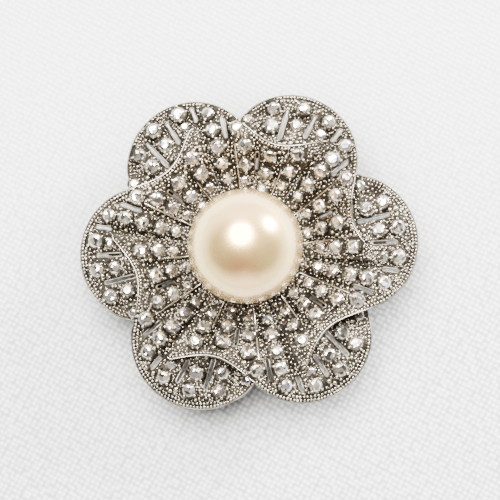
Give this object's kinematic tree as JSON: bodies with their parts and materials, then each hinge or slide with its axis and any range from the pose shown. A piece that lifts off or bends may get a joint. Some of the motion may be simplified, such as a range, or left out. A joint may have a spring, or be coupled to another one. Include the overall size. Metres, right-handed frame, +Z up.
{
  "type": "flower hair clip",
  "caption": "Stone-set antique silver flower with overlapping petals round a large pearl, riveted to the upper arm of a sprung alligator hair clip with toothed jaws.",
  "frame": {"origin": "on the underside of the lower arm, on the flower's axis", "axes": "+X from the thumb tabs towards the jaw's tip, +Z up through the pearl"},
  "size_m": [0.0545, 0.0508, 0.025],
  "materials": {
    "antique_silver": "cast white metal with antique silver plating, dark in the recesses and bright on the edges",
    "clear_stone": "faceted clear glass with a foiled back",
    "pearl_coat": "imitation pearl with a soft cream lustre",
    "plated_steel": "nickel-plated steel strip",
    "spring_wire": "bright spring wire"
  },
  "bodies": {
    "lower": {"lower_arm": "plated_steel", "hinge_pin": "plated_steel", "torsion_spring": "spring_wire"},
    "upper": {"petal_1": "antique_silver", "petal_2": "antique_silver", "petal_3": "antique_silver", "petal_4": "antique_silver", "petal_5": "antique_silver", "petal_6": "antique_silver", "large_stones_1": "clear_stone", "large_stones_2": "clear_stone", "large_stones_3": "clear_stone", "large_stones_4": "clear_stone", "large_stones_5": "clear_stone", "large_stones_6": "clear_stone", "small_stones_1": "clear_stone", "small_stones_2": "clear_stone", "small_stones_3": "clear_stone", "small_stones_4": "clear_stone", "small_stones_5": "clear_stone", "small_stones_6": "clear_stone", "pearl": "pearl_coat", "pearl_cup": "antique_silver", "peg_rivet": "antique_silver", "flower_base": "antique_silver", "clip_pad": "plated_steel", "upper_arm": "plated_steel"}
  },
  "joints": [
    {"name": "jaw_open", "type": "hinge", "parent": "lower", "child": "upper", "pos_m": [-0.009, 0, 0.0023], "axis": [0, -1, 0], "range_deg": [0, 20], "stiffness_Nm_per_rad": 0.25, "springref_deg": -28.65, "deforming": ["torsion_spring"]}
  ]
}
